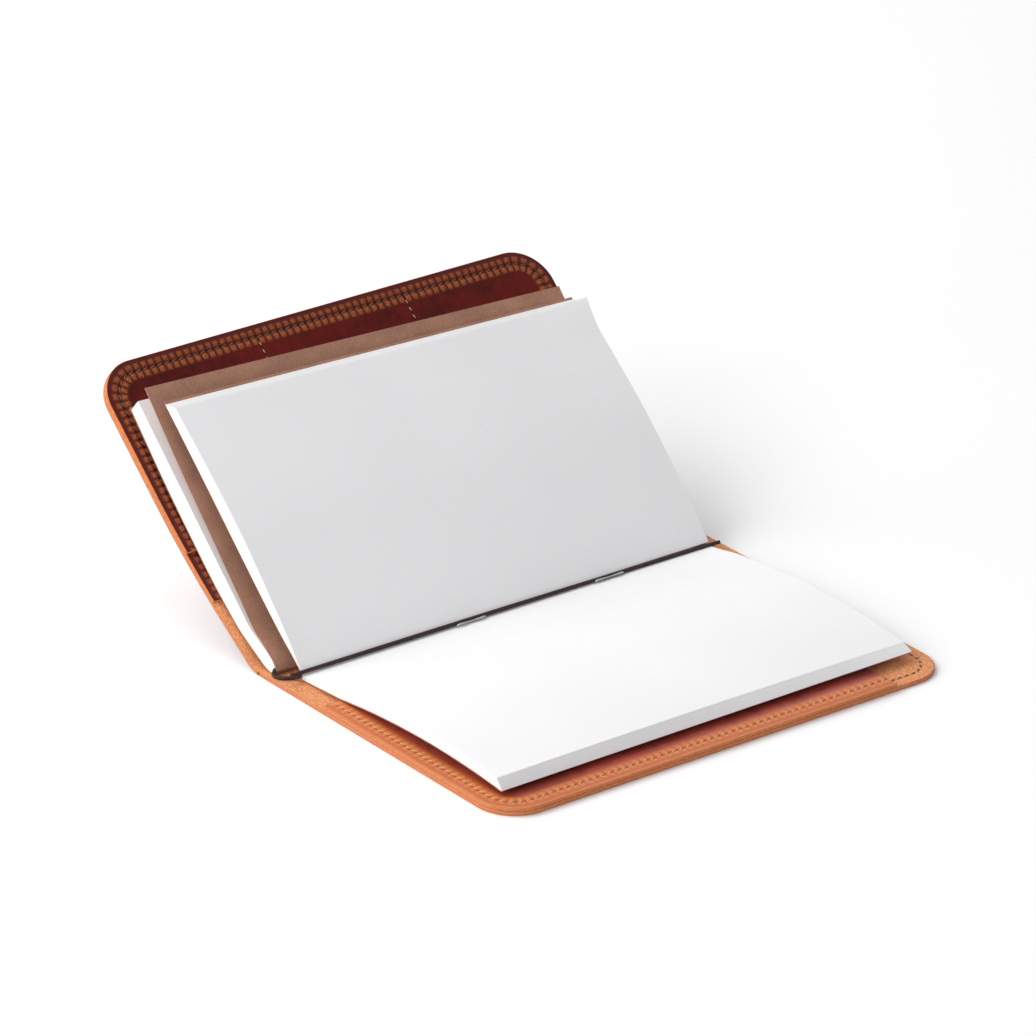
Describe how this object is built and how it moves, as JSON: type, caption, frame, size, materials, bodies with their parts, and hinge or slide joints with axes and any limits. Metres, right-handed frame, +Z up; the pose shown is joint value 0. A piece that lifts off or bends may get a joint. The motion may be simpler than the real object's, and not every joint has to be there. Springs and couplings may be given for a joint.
{
  "type": "notebook cover",
  "caption": "Leather notebook cover lying open on its back half, front half raised, with card pockets and a sheet pocket, holding stapled refill booklets on an elastic cord.",
  "frame": {"origin": "centre of the back leather's outer face, which lies on the table", "axes": "+X from the spine to the back fore-edge, +Y along the spine to the far end of the cover, +Z up from the table"},
  "size_m": [0.2759, 0.228, 0.0922],
  "materials": {
    "outer_leather": "waxed pull-up, burnished edge",
    "pocket_leather": "glossy",
    "thread": "waxed",
    "pages": "uncoated",
    "kraft_card": "kraft",
    "staple_wire": "satin",
    "elastic_cord": "braided"
  },
  "bodies": {
    "back": {"outer_leather_back": "outer_leather", "back_pocket_panel": "pocket_leather", "back_seam_thread": "thread", "booklet_2_pages_right": "pages", "booklet_2_cover_right": "kraft_card", "booklet_2_staples": "staple_wire", "elastic_booklet_2_strand": "elastic_cord"},
    "spine": {"outer_leather_spine": "outer_leather", "elastic_spine_runs": "elastic_cord"},
    "front": {"outer_leather_front": "outer_leather", "card_pocket_lower_tier": "pocket_leather", "card_pocket_upper_tier": "pocket_leather", "front_seam_thread": "thread", "divider_thread_near": "thread", "divider_thread_far": "thread"},
    "booklet_2_left": {"booklet_2_pages_left": "pages", "booklet_2_cover_left": "kraft_card"},
    "booklet_1": {"booklet_1_pages_back_half": "pages", "booklet_1_pages_front_half": "pages", "booklet_1_cover_back": "kraft_card", "booklet_1_staples": "staple_wire", "elastic_booklet_1_strand": "elastic_cord"},
    "booklet_1_leaf": {"booklet_1_cover_front": "kraft_card"}
  },
  "joints": [
    {"name": "spine_fold", "type": "hinge", "parent": "back", "child": "spine", "pos_m": [-0.07305, 0, 0.002], "axis": [0, 1, 0], "range_deg": [0, 90]},
    {"name": "front_fold", "type": "hinge", "parent": "spine", "child": "front", "pos_m": [-0.09783, 0, 0.00746], "axis": [0, 1, 0], "range_deg": [0, 46.2]},
    {"name": "booklet_2_fold", "type": "hinge", "parent": "back", "child": "booklet_2_left", "pos_m": [-0.06945, 0, 0.0096], "axis": [0, 1, 0], "range_deg": [0, 134]},
    {"name": "booklet_1_swing", "type": "hinge", "parent": "back", "child": "booklet_1", "pos_m": [-0.07492, 0, 0.00852], "axis": [0, 1, 0], "range_deg": [0, 136.2]},
    {"name": "booklet_1_leaf_fold", "type": "hinge", "parent": "booklet_1", "child": "booklet_1_leaf", "pos_m": [-0.08578, 0, 0.00856], "axis": [0, 1, 0], "range_deg": [-3.4, 0]}
  ],
  "couplings": [
    {"joint": "front_fold", "follows": "spine_fold", "ratio": 0.51333},
    {"joint": "booklet_2_fold", "follows": "spine_fold", "ratio": 1.4889},
    {"joint": "booklet_1_swing", "follows": "spine_fold", "ratio": 1.5133},
    {"joint": "booklet_1_leaf_fold", "follows": "spine_fold", "ratio": -0.03777}
  ]
}
